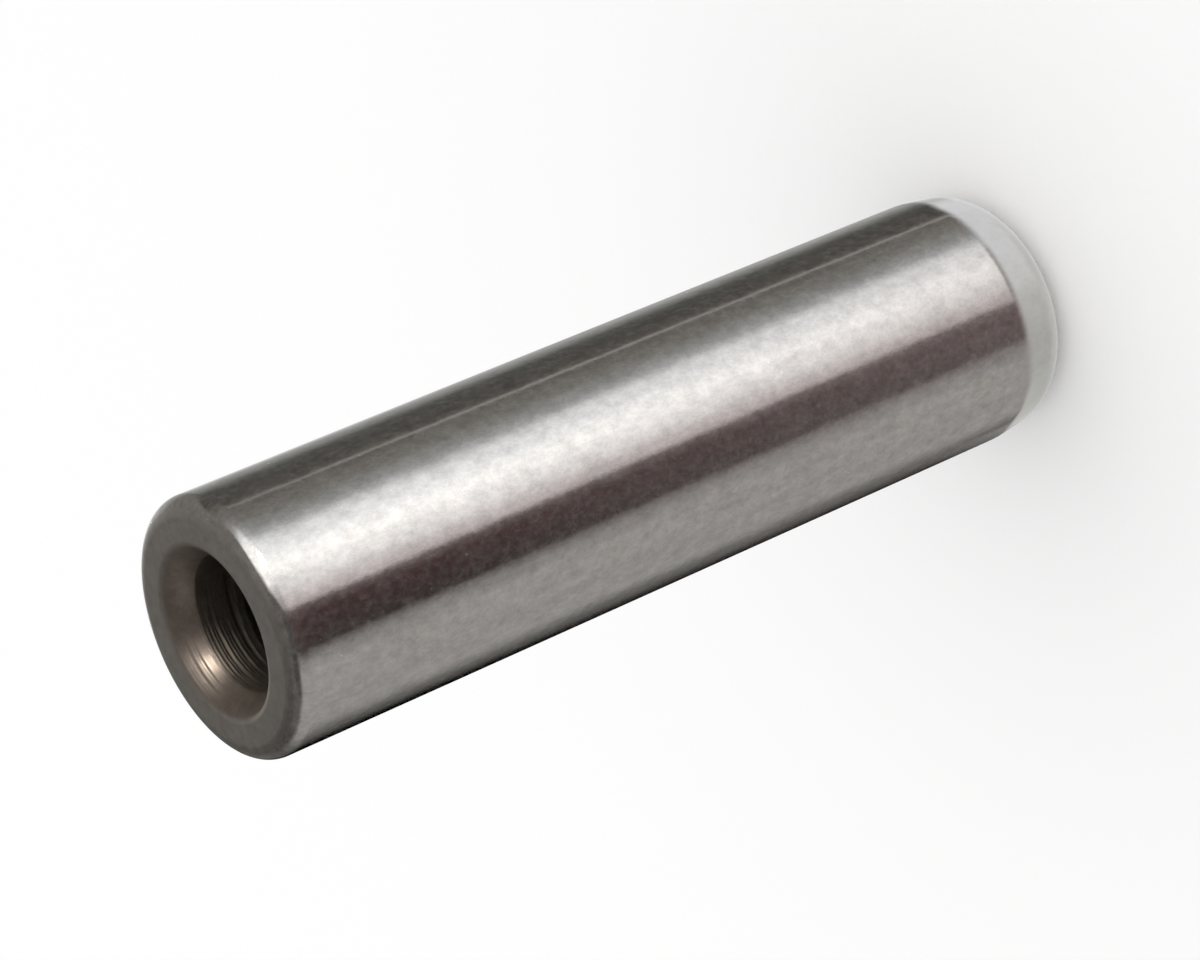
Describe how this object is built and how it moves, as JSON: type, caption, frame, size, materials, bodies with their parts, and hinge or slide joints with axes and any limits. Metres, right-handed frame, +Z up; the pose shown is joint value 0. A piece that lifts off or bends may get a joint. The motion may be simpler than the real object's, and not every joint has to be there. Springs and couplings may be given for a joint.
{
  "type": "pull dowel pin",
  "caption": "Hardened and ground parallel pin with a tapped blind hole in its flat end for a pull screw and a blended lead-in at the other end.",
  "frame": {"origin": "middle of the flat foot at the lead-in end, on which the pin stands", "axes": "+Z up along the pin's axis, from the lead-in end to the tapped end; X and Y are free by symmetry"},
  "size_m": [0.008, 0.008, 0.03],
  "materials": {
    "ground_steel": "hardened steel, centreless ground and tumbled, with a duller turned end face and a brownish, ringed mouth"
  },
  "bodies": {
    "root": {"dowel_pin": "ground_steel"}
  },
  "joints": []
}
